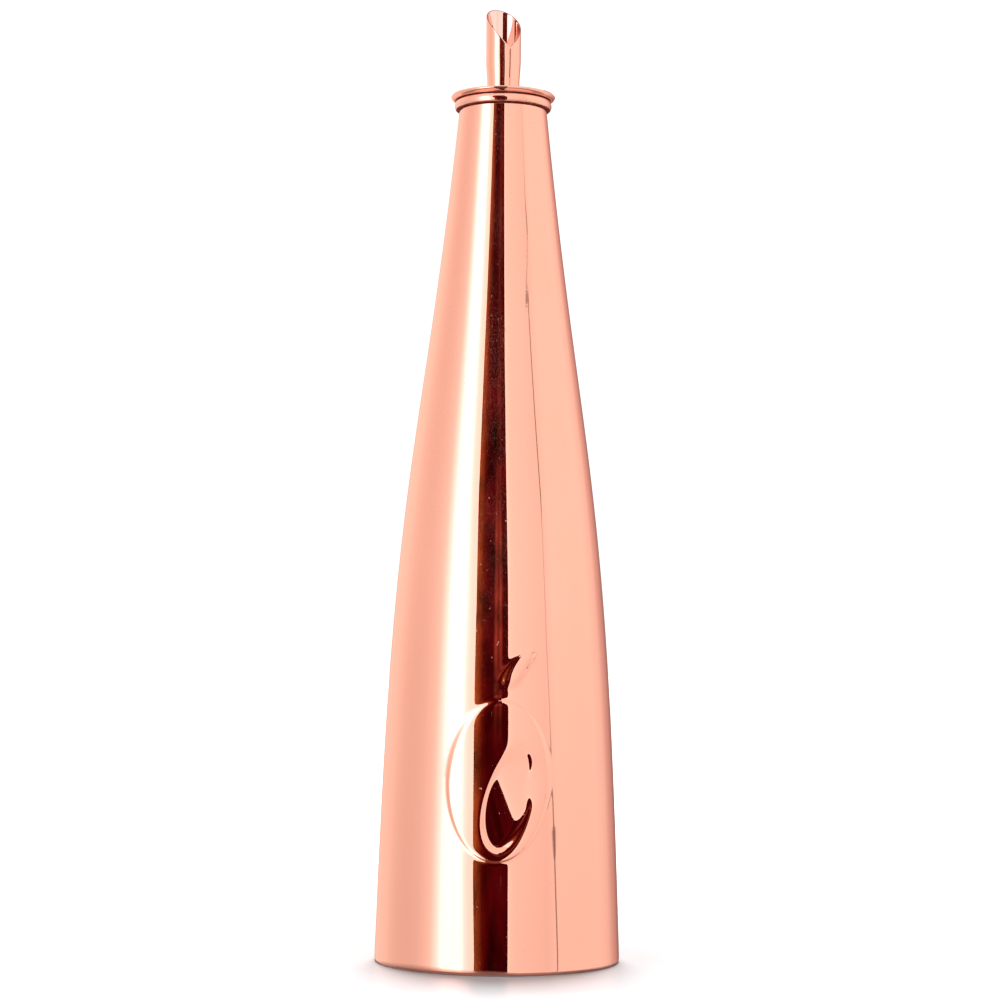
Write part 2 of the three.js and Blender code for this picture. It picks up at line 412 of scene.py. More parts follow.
def rounded(corners, steps=6):
    """An outline through (radius, height, rounding) corners, each rounding a true arc. Closed."""
    points = []
    count = len(corners)
    for i, (r, z, rounding) in enumerate(corners):
        here = np.array([r, z])
        if rounding == 0:
            points.append(here)
            continue
        before = np.array(corners[i - 1][:2]) - here
        after = np.array(corners[(i + 1) % count][:2]) - here
        before /= np.linalg.norm(before)
        after /= np.linalg.norm(after)
        half = math.acos(np.clip(before @ after, -1, 1)) / 2
        reach = rounding / math.tan(half)
        middle = (before + after) / np.linalg.norm(before + after)
        centre = here + middle * rounding / math.sin(half)
        start = here + before * reach - centre
        sweep = math.pi - 2 * half
        turn = math.copysign(sweep, before[1] * after[0] - before[0] * after[1])
        for k in range(steps + 1):
            angle = turn * k / steps
            c, s = math.cos(angle), math.sin(angle)
            points.append(centre + np.array([c * start[0] - s * start[1], s * start[0] + c * start[1]]))
    return np.array(points)


def full_turn(count):
    return np.arange(count) * 2 * np.pi / count


def grid_faces(turns, along, closed_along):
    """Quads of a grid whose first direction goes right round, numbered turn by turn."""
    i = np.arange(turns)[:, None]
    j = np.arange(along if closed_along else along - 1)[None, :]
    i2 = (i + 1) % turns
    j2 = (j + 1) % along
    corners = (i * along + j, i2 * along + j, i2 * along + j2, i * along + j2)
    return np.stack(np.broadcast_arrays(*corners), -1).reshape(-1, 4)


def add_mesh(name, vertices, faces, material):
    """A smooth-shaded object from millimetre vertices."""
    mesh = bpy.data.meshes.new(name)
    mesh.from_pydata((np.asarray(vertices) * MM).tolist(), [], [list(map(int, f)) for f in faces])
    mesh.validate()
    mesh.shade_smooth()
    mesh.materials.append(material)
    piece = bpy.data.objects.new(name, mesh)
    bpy.context.scene.collection.objects.link(piece)
    return piece


def add_grid(name, grid, material):
    """A closed ring from a grid of points, turn by turn, each turn a closed outline."""
    turns, along = grid.shape[:2]
    return add_mesh(name, grid.reshape(-1, 3), grid_faces(turns, along, True), material)


def around(outline, turn):
    """The outline's (radius, height) points as (x, y, z) at one angle round the axis."""
    return np.c_[outline[:, 0] * math.sin(turn), -outline[:, 0] * math.cos(turn), outline[:, 1]]


def turned_grid(outline, turns):
    """Points of one closed outline of (radius, height), turn by turn."""
    return np.array([around(outline, turn) for turn in turns])


def turned(name, outline, material, count=180):
    """A closed ring-shaped solid turned about the axis. The outline runs anticlockwise."""
    return add_grid(name, turned_grid(outline, full_turn(count)), material)


def assign(piece, body, slot, *nodes):
    """The body that a piece moves with, its material slot (not used), and the CAD nodes it stands for.
    """
    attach(piece, body)
    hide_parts(*nodes)


# ---------------------------------------------------------------- the shell


def wall_curve(count=4001):
    """The outer wall as (radius, height) points of its Bezier curve."""
    t = np.linspace(0, 1, count)[:, None]
    s = 1 - t
    p0, p3 = np.array([BASE_R, 0.0]), np.array([NECK_R, NECK_Z])
    p1, p2 = np.array(WALL_HANDLES[0]), np.array(WALL_HANDLES[1])
    return s**3 * p0 + 3 * s * s * t * p1 + 3 * s * t * t * p2 + t**3 * p3


WALL = wall_curve()


def wall_radius(height):
    return np.interp(height, WALL[:, 1], WALL[:, 0])


def step_down(distance, width):
    """1 well inside, 0 well outside, with its steepest slope of 1 / (2 * width) at distance 0."""
    return 0.5 * (1 - np.tanh(distance / width))


def hump(angle, centre, half):
    """A smooth hump of height 1 over a range of angles, in degrees."""
    share = np.clip(np.abs(angle - centre) / half, 0, 1)
    return (1 - share**2) ** 2


def smoothstep(value):
    t = np.clip(value, 0, 1)
    return t * t * (3 - 2 * t)


def oval_place(x, z, centre, halves, lean):
    """Distance outside an oval's edge (negative inside), share of its radius, and angle round it."""
    c, s = math.cos(lean), math.sin(lean)
    tiny = 1e-9
    across = ((x - centre[0]) * c + (z - centre[1]) * s) / halves[0]
    along = (-(x - centre[0]) * s + (z - centre[1]) * c) / halves[1]
    share = np.hypot(across, along) + tiny
    steepness = np.hypot(across / halves[0], along / halves[1]) / share + tiny
    return (share - 1) / steepness, share, np.degrees(np.arctan2(along, across))


def edge_softness(turn, least, *softer):
    """How soft an oval's edge is at an angle round it, with (more, middle, half) stretches."""
    return least + sum(more * hump(turn, middle, half) for more, middle, half in softer)


OLIVE_CENTRE = (0.1, 57.4)
OLIVE_HALVES = (15.05, 23.9)
OLIVE_LEAN = math.radians(-3)
OLIVE_RISE = 0.45
OLIVE_SOFTNESS = (0.42, (0.42, 135, 70), (0.08, -90, 60))

# The hollow is deepest along a line that leans to the right as it goes up.
HOLLOW_CENTRE = (3.1, 51.7)
HOLLOW_HALVES = (6.9, 15.1)
HOLLOW_LEAN = math.radians(-15)
HOLLOW_DEPTH = 0.799
HOLLOW_SLOPE = 0.03
HOLLOW_BOWL = 0.00775
HOLLOW_TWIST = 0.005
HOLLOW_TWIST_BELOW = 1.7
HOLLOW_SOFTNESS = (0.55, (0.68, -45, 60))
HOLLOW_RUN_OUT = (0.0, (2.4, 30, 38), (1.4, 100, 45))

# The leaf's middle line runs from LEAF_START to the right by LEAF_RIGHT and bends by LEAF_BEND more.
LEAF_LOW = 84.0
LEAF_TALL = 13.3
LEAF_WIDE = 3.0
LEAF_START = 2.4
LEAF_RIGHT = 4.0
LEAF_BEND = 4.2
LEAF_SLANT = 0.87
LEAF_RISE = 0.55
LEAF_INSET = 0.35
LEAF_SOFTNESS = 0.85
LEAF_TIP_SHARE = 0.25


def olive_relief(x, z):
    """Height of the pressed olive over the wall, seen from the front.

    The olive is a level oval with a soft edge. The hollow on it is a shallow trough that gets
    shallower upwards, with an edge that is crisp at the left and runs out softly at the upper right.
    """
    edge, _, turn = oval_place(x, z, OLIVE_CENTRE, OLIVE_HALVES, OLIVE_LEAN)
    raised = OLIVE_RISE * step_down(edge, edge_softness(turn, *OLIVE_SOFTNESS))
    rim, share, turn = oval_place(x, z, HOLLOW_CENTRE, HOLLOW_HALVES, HOLLOW_LEAN)
    run_out = edge_softness(turn, *HOLLOW_RUN_OUT) * np.clip(share, 0, 1)
    softness = edge_softness(turn, *HOLLOW_SOFTNESS) + run_out
    right, up = x - HOLLOW_CENTRE[0], z - HOLLOW_CENTRE[1]
    trough = HOLLOW_TWIST * right * (up + HOLLOW_TWIST_BELOW) - HOLLOW_BOWL * right**2
    depth = HOLLOW_DEPTH + trough - HOLLOW_SLOPE * up
    return raised - np.clip(depth, 0, None) * step_down(rim, softness)


def leaf_relief(x, z):
    """A small curved leaf with a round back, rising from the olive's stem end to the right."""
    t = np.clip((z - LEAF_LOW) / LEAF_TALL, 0, 1)
    middle = LEAF_START + LEAF_RIGHT * t + LEAF_BEND * t * t
    half = LEAF_WIDE * np.sqrt(np.clip(1 - (2 * t - 1) ** 2, 0, 1))
    outside = (np.abs(x - middle) - half) * LEAF_SLANT
    tips = smoothstep(np.minimum(t, 1 - t) / LEAF_TIP_SHARE)
    return LEAF_RISE * step_down(outside + LEAF_INSET, LEAF_SOFTNESS) * tips


def front_relief(x, z):
    return olive_relief(x, z) + leaf_relief(x, z)


# The relief's heights and angles, and how close the shell's rows and columns are in it. Elsewhere
# they are further apart.
RELIEF_LOW = 26
RELIEF_HIGH = 104
RELIEF_MARGIN = 4
RELIEF_STEP = 0.35
RELIEF_TURNS = (-36, 40)
TURN_STEP = 0.4
COARSE_TURN_STEP = 2.0
FOOT_ROWS = (1.6, 2.2, 3.0)
LOW_STEP = 2.0
HIGH_STEP = 2.5
NECK_STEP = 0.4
INSIDE_TOP = 262
INSIDE_HIGH_STEP = 8.0
INSIDE_LOW_STEP = 1.5
FOOT_EDGE_ROUNDING = 0.25
MOUTH_ROUNDING = 0.35


def shell_turns():
    """Angles round the shell: close together over the olive, wider elsewhere."""
    first, last = RELIEF_TURNS
    fine = np.radians(np.arange(first, last, TURN_STEP))
    coarse = np.radians(np.arange(last, 360 + first, COARSE_TURN_STEP))
    return np.concatenate([fine, coarse])


def shell_outline():
    """The sheet's outline, with close rows over the olive and at the foot and the neck."""
    outer = np.concatenate([
        FOOT_ROWS,
        np.arange(4, RELIEF_LOW, LOW_STEP),
        np.arange(RELIEF_LOW, RELIEF_HIGH, RELIEF_STEP),
        np.arange(RELIEF_HIGH, NECK_Z, HIGH_STEP),
        [NECK_Z - NECK_STEP, NECK_Z, NECK_Z + NECK_STEP],
    ])
    inner = np.concatenate([
        np.arange(INSIDE_TOP, RELIEF_HIGH, -INSIDE_HIGH_STEP),
        np.arange(RELIEF_HIGH, FOOT_ROWS[-1], -INSIDE_LOW_STEP),
    ])
    return rounded([
        (FOOT_INNER_R, 0.0, FOOT_EDGE_ROUNDING),
        (wall_radius(0) + 0.02, 0.0, FOOT_ROUNDING),
        *[(wall_radius(height), height, 0) for height in outer],
        (NECK_R, MOUTH_Z, MOUTH_ROUNDING),
        (NECK_R - SHEET, MOUTH_Z, MOUTH_ROUNDING),
        *[(wall_radius(height) - SHEET, height, 0) for height in inner],
        (wall_radius(1) - SHEET, SHEET, 1.0),
        (FOOT_INNER_R, SHEET, FOOT_EDGE_ROUNDING),
    ], steps=8)


def copper_shell(material):
    """The bottle: a thin turned sheet with the olive pressed into its front."""
    grid = turned_grid(shell_outline(), shell_turns())
    x, y, z = grid[..., 0], grid[..., 1], grid[..., 2]
    radius = np.hypot(x, y)
    in_reach = (z > RELIEF_LOW - RELIEF_MARGIN) & (z < RELIEF_HIGH + RELIEF_MARGIN)
    on_wall = in_reach & (y < 0) & (radius > wall_radius(z) - 2 * SHEET)
    # The inside of the sheet takes the relief of the outside in front of it.
    face = np.minimum(wall_radius(z) / radius, 1.1)
    rise = np.where(on_wall, front_relief(x * face, z), 0.0)
    grid[..., 0] += rise * x / radius
    grid[..., 1] += rise * y / radius
    return add_grid("copper_shell", grid, material)


# ---------------------------------------------------------------- neck ring and base

PAN_UNDER = 3.0
PAN_SHEET = 0.8
PAN_LEDGE = 0.4
PAN_FLAT_R = 26.0
PAN_STEP_R = 29.0
# The solid parts on the axis end this close to it.
AXIS_R = 0.001


def mouth_bead(material):
    """The rolled ring round the mouth, its back flat against the neck."""
    inner = NECK_R + FIT
    return turned("mouth_bead", rounded([
        (inner, NECK_Z + 0.1, 0.1),
        (RING_R - 0.25, NECK_Z + 0.1, 0.8),
        (RING_R + 0.1, NECK_Z + 1.5, 1.5),
        (RING_R - 0.35, MOUTH_Z, 0.7),
        (inner, MOUTH_Z, 0.1),
    ]), material)


def base_pan(material):
    """The pressed plate that closes the foot: a raised flat middle with a ledge round it."""
    rim = FOOT_INNER_R - 0.1
    ledge_top = PAN_LEDGE + PAN_SHEET
    top = PAN_UNDER + PAN_SHEET
    return turned("base_pan", rounded([
        (AXIS_R, PAN_UNDER, 0),
        (PAN_FLAT_R, PAN_UNDER, 2.0),
        (PAN_STEP_R, PAN_LEDGE, 1.5),
        (rim, PAN_LEDGE, 0.3),
        (rim, ledge_top, 0.2),
        (PAN_STEP_R + 0.3, ledge_top, 1.0),
        (PAN_FLAT_R + 0.3, top, 1.5),
        (AXIS_R, top, 0),
    ]), material)


# ---------------------------------------------------------------- the pourer

CRISP_EDGE = math.radians(50)
DRILL_FACETS = 32
DRILL_BELOW = 2
DRILL_ABOVE = 3
DISH_SEAT_R = 12.3
SEAT_GAP = 0.08
FLARE_START_R = 14.2
FLARE_BEND_R = 16.1
FLARE_ROWS = 16
RIM_INSET = 0.35
RIM_THINNING = 0.4
DISH_FLOOR_RISE = 0.5
COLLAR_RISE = 1.1


def drilled(piece, centre, radius, low, high, material):
    """The piece with an upright round hole through it, and crisp edges round the hole."""
    drill_outline = np.array([(AXIS_R, low), (radius, low), (radius, high), (AXIS_R, high)])
    cutter = turned("cutter", drill_outline, material, DRILL_FACETS)
    cutter.location = (centre[0] * MM, centre[1] * MM, 0.0)
    drill = piece.modifiers.new("drill", "BOOLEAN")
    drill.operation = "DIFFERENCE"
    drill.solver = "EXACT"
    drill.object = cutter
    bpy.context.view_layer.update()
    cut = piece.evaluated_get(bpy.context.evaluated_depsgraph_get())
    mesh = bpy.data.meshes.new_from_object(cut)
    mesh.set_sharp_from_angle(angle=CRISP_EDGE)
    mesh.name = piece.name
    piece.modifiers.remove(drill)
    piece.data = mesh
    bpy.data.objects.remove(cutter)
    return piece


def flared_dish(material):
    """Rim flared like a trumpet's mouth, flat seat on the bead, sunken floor and a collar.

    A small hole in the floor lets drips run back down the vent tube.
    """
    seat = MOUTH_Z + SEAT_GAP
    collar = SPOUT_R + FIT
    floor_under = DISH_FLOOR_Z + DISH_FLOOR_RISE
    t = np.linspace(0, 1, FLARE_ROWS)[:, None]
    start, bend = np.array([FLARE_START_R, seat]), np.array([FLARE_BEND_R, seat])
    end = np.array([DISH_RIM_R, DISH_RIM_Z])
    flare = (1 - t) ** 2 * start + 2 * t * (1 - t) * bend + t * t * end
    shares = t[:, 0]
    under = [(r, z, 0) for r, z in flare]
    over = [
        (r - RIM_INSET * share, z + DISH_SHEET * (1 - RIM_THINNING * share), 0)
        for (r, z), share in zip(flare[::-1], shares[::-1])
    ]
    dish = turned("flared_dish", rounded([
        (collar, DISH_FLOOR_Z - DISH_SHEET, 0.1),
        (SPOUT_R + 0.7, DISH_FLOOR_Z - DISH_SHEET, 0.3),
        (SPOUT_R + 0.8, DISH_FLOOR_Z, 0.3),
        (DISH_FLOOR_R, floor_under, 0.8),
        (DISH_SEAT_R, seat, 0.8),
        *under,
        *over,
        (DISH_SEAT_R - 0.2, seat + DISH_SHEET, 1.0),
        (DISH_FLOOR_R - 0.2, floor_under + DISH_SHEET, 0.8),
        (SPOUT_R + 1.0, DISH_FLOOR_Z + DISH_SHEET, 1.0),
        (collar, DISH_FLOOR_Z + DISH_SHEET + COLLAR_RISE, 0.05),
    ]), material)
    low, high = DISH_FLOOR_Z - DRILL_BELOW, DISH_FLOOR_Z + DRILL_ABOVE
    return drilled(dish, (0.0, VENT_OFFSET), DRAIN_R, low, high, material)


# The spout's seam is a fine groove, with grid columns at these angles from it, in degrees. The
# browned faces in it are these columns of the grid, between these two rows.
SPOUT_SEAM_DEPTH = 0.12
SPOUT_SEAM_HALF = math.radians(1.4)
SPOUT_SEAM_TURNS = (-3.0, -1.9, -1.1, 0.0, 1.1, 1.9, 3.0)
SPOUT_SEAM_COLUMNS = (1, 2, 3, 4)
SPOUT_SEAM_ROWS = (2, 16)
FLARE_STEPS = 6
STRAIGHT_STEPS = 8
SPOUT_TURN_STEP = 2.5
FLARE_END_BELOW_NOTCH = 3
CUT_POINTED = 0.7
LIP_TURNS = (0, 30, 60, 90, 120, 150, 180)
LIP_HEIGHT = 0.6
FOOT_CHAMFER = 0.2


def cut_height(turn):
    """Height of the spout's slanted edge, which comes to a point at the notch."""
    away = turn - NOTCH_TURN
    pointed = np.abs(np.sin(away / 2))
    soft = (1 - np.cos(away)) / 2
    return NOTCH_Z + CUT_RISE * (CUT_POINTED * pointed + (1 - CUT_POINTED) * soft)


def spout_outside(top):
    """The outside of the tube up to the lip, as (radius, height) points."""
    flare_end = NOTCH_Z - FLARE_END_BELOW_NOTCH
    lip_start = top - LIP_HEIGHT
    points = [(SPOUT_R, SPOUT_BOTTOM + FOOT_CHAMFER), (SPOUT_R, SPOUT_FLARE_START)]
    for k in range(1, FLARE_STEPS + 1):
        share = k / FLARE_STEPS
        wider = (SPOUT_TIP_R - SPOUT_R) * (0.5 - 0.5 * math.cos(math.pi * share))
        points.append((SPOUT_R + wider, SPOUT_FLARE_START + (flare_end - SPOUT_FLARE_START) * share))
    for k in range(1, STRAIGHT_STEPS + 1):
        points.append((SPOUT_TIP_R, flare_end + (lip_start - flare_end) * k / STRAIGHT_STEPS))
    return points


def rolled_spout(material, inside_material, edge_material):
    """The spout: a rolled sheet whose seam runs down from the notch of the slanted cut."""
    rest = np.arange(5, 358, SPOUT_TURN_STEP)
    lip = SPOUT_SHEET / 2
    rows = []
    for away in np.radians(np.concatenate([SPOUT_SEAM_TURNS, rest])):
        turn = NOTCH_TURN + away
        top = cut_height(turn)
        outside = spout_outside(top)
        from_seam = (away + math.pi) % (2 * math.pi) - math.pi
        row = np.array([
            (SPOUT_R - FOOT_CHAMFER, SPOUT_BOTTOM),
            *outside,
            *[(SPOUT_TIP_R - lip + lip * math.cos(a), top - lip + lip * math.sin(a))
              for a in np.radians(LIP_TURNS)],
            *[(r - SPOUT_SHEET, z) for r, z in outside[::-1]],
            (SPOUT_R - SPOUT_SHEET + FOOT_CHAMFER, SPOUT_BOTTOM),
        ])
        groove = SPOUT_SEAM_DEPTH * math.exp(-((from_seam / SPOUT_SEAM_HALF) ** 2))
        row[: len(outside) + 1, 0] -= groove
        rows.append(around(row, turn))
    grid = np.array(rows)
    spout = add_grid("rolled_spout", grid, material)
    spout.data.materials.append(inside_material)
    spout.data.materials.append(edge_material)
    lip_start = len(outside) + 2
    lip_end = lip_start + len(LIP_TURNS) - 2
    for number, face in enumerate(spout.data.polygons):
        column, row = divmod(number, grid.shape[1])
        on_seam = column in SPOUT_SEAM_COLUMNS and SPOUT_SEAM_ROWS[0] < row < SPOUT_SEAM_ROWS[1]
        if on_seam or lip_start <= row < lip_end:
            face.material_index = 2
        elif row > len(outside):
            face.material_index = 1
    return spout


PLUG_TAPER_IN = 1.0
PLUG_TAPER_UP = 1.4


def stopper_core(material):
    """The plug round the spout's foot, with a groove for each ring."""
    half = SEAL_THICKNESS / 2 + GAP
    bore = SPOUT_R + FIT
    grooves = []
    for height in reversed(SEAL_HEIGHTS):
        grooves += [
            (PLUG_R, height - half, 0.25),
            (GROOVE_R, height - half, 0.3),
            (GROOVE_R, height + half, 0.3),
            (PLUG_R, height + half, 0.25),
        ]
    return turned("stopper_core", rounded([
        (bore, PLUG_BOTTOM, 0.2),
        (PLUG_R - PLUG_TAPER_IN, PLUG_BOTTOM, 0.6),
        (PLUG_R, PLUG_BOTTOM + PLUG_TAPER_UP, 0.5),
        *grooves,
        (PLUG_R, PLUG_TOP, 0.4),
        (bore, PLUG_TOP, 0.2),
    ]), material)


FLASH_RISE = 0.05
FLASH_HALF_ANGLE = 0.16


def seal(index, height, material):
    """One silicone ring, with the fine flash line that its mould leaves on the outside."""
    angles = full_turn(40)
    half = SEAL_THICKNESS / 2
    from_outside = np.minimum(angles, 2 * np.pi - angles)
    flash = FLASH_RISE * np.exp(-((from_outside / FLASH_HALF_ANGLE) ** 2))
    centre = GROOVE_R + GAP + half
    outline = np.c_[centre + (half + flash) * np.cos(angles), height + half * np.sin(angles)]
    return turned(f"silicone_ring_{index}", outline, material)


VENT_SLANT = 0.9


def breather(material):
    """The vent tube, its lower end cut at a slant."""
    rows = []
    for turn in full_turn(40):
        bottom = VENT_BOTTOM + VENT_SLANT * (1 + math.cos(turn))
        outline = rounded([
            (VENT_BORE, bottom, 0.1),
            (VENT_R, bottom, 0.15),
            (VENT_R, PLUG_TOP, 0.1),
            (VENT_BORE, PLUG_TOP, 0.1),
        ], steps=3)
        rows.append(around(outline, turn) + (0.0, VENT_OFFSET, 0.0))
    return add_grid("breather", np.array(rows), material)


# ---------------------------------------------------------------- studio

WALL_RADIUS_M = 3.0
WALL_LOW_M = -1.7
WALL_HIGH_M = 2.6
WALL_SIDES = 128
GROUND_HALF_M = 6.0

# What surrounds the bottle, by angle from the front, in degrees. Each stop is an angle and the
# colour of the light from there. White panels stand left and right, with a dark gap between them,
# and the light fades behind the bottle.
LEFT_PANELS = [
    (-180, (0.34, 0.14, 0.10)),
    (-170, (0.93, 0.55, 0.42)),
    (-158, (1.29, 0.92, 0.77)),
    (-140, (1.23, 1.07, 0.98)),
    (-130, (1.17, 1.10, 1.04)),
    (-120, (1.06, 1.03, 0.99)),
    (-110, (1.00, 0.96, 0.94)),
    (-100, (0.97, 0.93, 0.92)),
    (-90, (0.97, 0.94, 0.93)),
    (-80, (1.00, 1.00, 1.00)),
    (-70, (1.14, 1.15, 1.16)),
    (-65, (1.33, 1.33, 1.36)),
    (-60, (1.80, 1.78, 1.92)),
    (-56, (2.20, 2.20, 2.60)),
    (-52, (3.20, 3.20, 3.20)),
    (-38, (3.20, 3.20, 3.20)),
    (-34.5, (2.10, 2.10, 2.50)),
    (-32, (1.90, 1.90, 2.05)),
    (-29, (1.72, 1.72, 1.86)),
    (-25, (1.70, 1.70, 1.80)),
]
DARK_GAP = [
    (-25, (0.190, 0.0780, 0.0280)),
    (-21, (0.150, 0.0400, 0.0120)),
    (-17, (0.075, 0.0060, 0.0040)),
    (-12, (0.046, 0.0014, 0.0027)),
    (9, (0.042, 0.0014, 0.0027)),
]
RIGHT_PANELS = [
    (9, (1.45, 1.45, 1.48)),
    (12, (1.28, 1.28, 1.28)),
    (17, (1.21, 1.21, 1.21)),
    (34, (1.15, 1.15, 1.15)),
    (48, (1.09, 1.09, 1.09)),
    (60, (1.21, 1.21, 1.21)),
    (112, (1.21, 1.19, 1.17)),
    (122, (1.13, 1.08, 1.05)),
    (130, (1.05, 0.97, 0.93)),
    (140, (0.84, 0.63, 0.59)),
    (150, (0.69, 0.44, 0.39)),
    (160, (0.46, 0.26, 0.24)),
    (180, (0.34, 0.14, 0.10)),
]
BRIGHTEST = 4.0

# The panels' edges aren't quite straight: how far each is from its stop, by height in metres, and
# how much of that a place at an angle moves, as (angle, share) points.
LEFT_EDGE_SHIFT = [
    (-0.2, 4.0), (-0.05, 2.1), (0.4, 0.2), (0.65, 0.0), (1.0, -1.4), (1.4, -1.5), (1.56, -0.2),
]
RIGHT_EDGE_SHIFT = [
    (-0.2, 0.9), (0.2, 0.8), (0.5, 0.6), (0.7, 0.5), (1.0, -1.0), (1.33, -2.6), (1.45, -3.6),
    (1.56, -5.4),
]
LEFT_EDGE_REACH = [(-50, 0.0), (-35, 1.0), (-16, 1.0), (-6, 0.0)]
RIGHT_EDGE_REACH = [(-6, 0.0), (2, 1.0), (15, 1.0), (30, 0.0)]

# The seam between two right-hand panels, by height in metres: its angle, how dark it is and half
# its width in degrees. It fades out at PANEL_SEAM_END half widths from its middle.
PANEL_SEAM_ANGLE = [
    (-0.2, 58.0), (-0.1, 56.7), (0.3, 53.0), (0.5, 51.3), (0.95, 51.0), (1.25, 48.6), (1.385, 47.5),
    (1.398, 48.0), (1.405, 41.5), (1.421, 52.5), (1.44, 50.5), (1.5, 51.2),
]
PANEL_SEAM_DARKNESS = [
    (-0.2, 0.75), (0.05, 0.75), (0.3, 0.3), (0.85, 0.3), (0.95, 0.8), (1.43, 0.8), (1.46, 0.4),
    (1.5, 0.2),
]
PANEL_SEAM_HALF = [
    (-0.2, 0.8), (-0.03, 0.8), (-0.02, 1.7), (0.03, 2.6), (0.04, 0.8), (1.39, 0.8), (1.402, 2.4),
    (1.42, 1.6), (1.43, 0.8),
]
PANEL_SEAM_END = 1.2

# Something brown and uneven stands in the left of the dark gap, and a red streak near its middle.
# Specks and patches have a scale per degree round and one per metre up.
SPECK_SCALES = (0.9, 260.0)
SPECKS = [(0.3, -0.9), (0.7, 1.6)]
SPECKS_BY_ANGLE = [(-25, 1.0), (-19, 0.8), (-14, 0.35), (9, 0.2)]
PATCH_SCALES = (0.05, 7.0)
PATCHES = [(0.3, -0.8), (0.7, 1.4)]
GAP_LEAST = 0.15
STREAK_COLOR = (0.42, 0.095, 0.065)
STREAK_BY_ANGLE = [(-6, 0.0), (-3.5, 1.0), (-1, 0.35), (1, 1.0), (3.5, 0.0)]
STREAK_BY_HEIGHT = [(0.25, 0.0), (0.5, 1.0), (0.85, 1.0), (1.1, 0.25)]
STREAK_BY_PATCH = [(0.35, 0.3), (0.65, 0.9)]

# The light is a little weaker near the floor.
LIGHT_BY_HEIGHT = [(-0.2, 0.9), (0.6, 1.0)]


def dimmed(color):
    """A light's colour as a share of the brightest, which its strength makes up for."""
    return tuple(part / BRIGHTEST for part in color) + (1.0,)


def light_ramp(n, value, stops):
    """The colour of the light at an angle or a distance, from (value, colour) stops."""
    first, last = float(stops[0][0]), float(stops[-1][0])
    share = n.math("DIVIDE", n.math("SUBTRACT", value, first), last - first)
    return n.ramp(share, [((at - first) / (last - first), dimmed(color)) for at, color in stops])


def uneven_noise(n, angle, height, scales, detail):
    """Noise over the walls, by angle and height."""
    round_scale, up_scale = scales
    place = n.vector(n.math("MULTIPLY", angle, round_scale), n.math("MULTIPLY", height, up_scale))
    return n.noise(place, 1.0, detail)


def gap_color(n, angle, height):
    """The dark gap with its specks, patches and streak."""
    speck = uneven_noise(n, angle, height, SPECK_SCALES, 2.0)
    patch = uneven_noise(n, angle, height, PATCH_SCALES, 3.0)
    specks = n.math("MULTIPLY", n.curve(speck, SPECKS), n.curve(angle, SPECKS_BY_ANGLE))
    brightness = n.math("ADD", n.curve(patch, PATCHES), n.math("ADD", specks, 1.0))
    gap = n.add("ShaderNodeVectorMath", {"operation": "SCALE"})
    n.put(gap, "0", light_ramp(n, angle, DARK_GAP))
    n.put(gap, "Scale", n.math("MAXIMUM", brightness, GAP_LEAST))
    streak = n.math("MULTIPLY", n.curve(angle, STREAK_BY_ANGLE), n.curve(height, STREAK_BY_HEIGHT))
    streak = n.math("MULTIPLY", streak, n.curve(patch, STREAK_BY_PATCH))
    return n.mix(streak, gap.outputs[0], dimmed(STREAK_COLOR))


def surround_material():
    """Light from the studio walls, by the direction round the bottle and a little by height."""
    material, n, place = new_material("studio_walls")
    axes = n.axes(place)
    angle, height = n.turn(axes), axes[2]

    left = n.math("MULTIPLY", n.curve(height, LEFT_EDGE_SHIFT), n.curve(angle, LEFT_EDGE_REACH))
    right = n.math("MULTIPLY", n.curve(height, RIGHT_EDGE_SHIFT), n.curve(angle, RIGHT_EDGE_REACH))
    shifted = n.math("SUBTRACT", n.math("SUBTRACT", angle, left), right)

    past_left = n.math("GREATER_THAN", shifted, float(DARK_GAP[0][0]))
    past_gap = n.math("GREATER_THAN", shifted, float(RIGHT_PANELS[0][0]))
    color = n.mix(past_left, light_ramp(n, shifted, LEFT_PANELS), gap_color(n, shifted, height))
    color = n.mix(past_gap, color, light_ramp(n, shifted, RIGHT_PANELS))

    from_seam = n.math("ABSOLUTE", n.math("SUBTRACT", angle, n.curve(height, PANEL_SEAM_ANGLE)))
    from_seam = n.math("DIVIDE", from_seam, n.curve(height, PANEL_SEAM_HALF))
    on_seam = n.math("SUBTRACT", PANEL_SEAM_END, from_seam, clamp=True)
    seam = n.math("MULTIPLY", on_seam, n.curve(height, PANEL_SEAM_DARKNESS))
    strength = n.math("SUBTRACT", 1.0, seam)
    strength = n.math("MULTIPLY", strength, n.curve(height, LIGHT_BY_HEIGHT))
    strength = n.math("MULTIPLY", strength, BRIGHTEST)
    n.surface("ShaderNodeEmission", Color=color, Strength=strength)
    return material


def studio_walls():
    """A round wall of light panels. The camera doesn't see it, only the bottle and floor do."""
    turns = full_turn(WALL_SIDES)
    ring = np.c_[np.sin(turns), -np.cos(turns)] * WALL_RADIUS_M / MM
    low = np.c_[ring, np.full(WALL_SIDES, WALL_LOW_M / MM)]
    high = np.c_[ring, np.full(WALL_SIDES, WALL_HIGH_M / MM)]
    points = np.stack([low, high], 1).reshape(-1, 3)
    walls = add_mesh("studio_walls", points, grid_faces(WALL_SIDES, 2, False), surround_material())
    walls.visible_camera = False
    walls.visible_shadow = False


def level_square(name, height, material):
    """A large level square at a height, both in metres."""
    half, z = GROUND_HALF_M / MM, height / MM
    corners = [(-half, -half, z), (half, -half, z), (half, half, z), (-half, half, z)]
    return add_mesh(name, corners, [(0, 1, 2, 3)], material)


FLOOR_COLORS = ((0.390, 0.396, 0.404, 1.0), (0.410, 0.416, 0.424, 1.0))
# The table top has a painted glow, by distance from the bottle in metres, which is left out near the
# bottle.
FLOOR_PAINTED_GLOW = [(0.0, 0.0), (0.06, 0.0), (0.12, 0.35), (0.4, 0.8), (6.0, 0.8)]


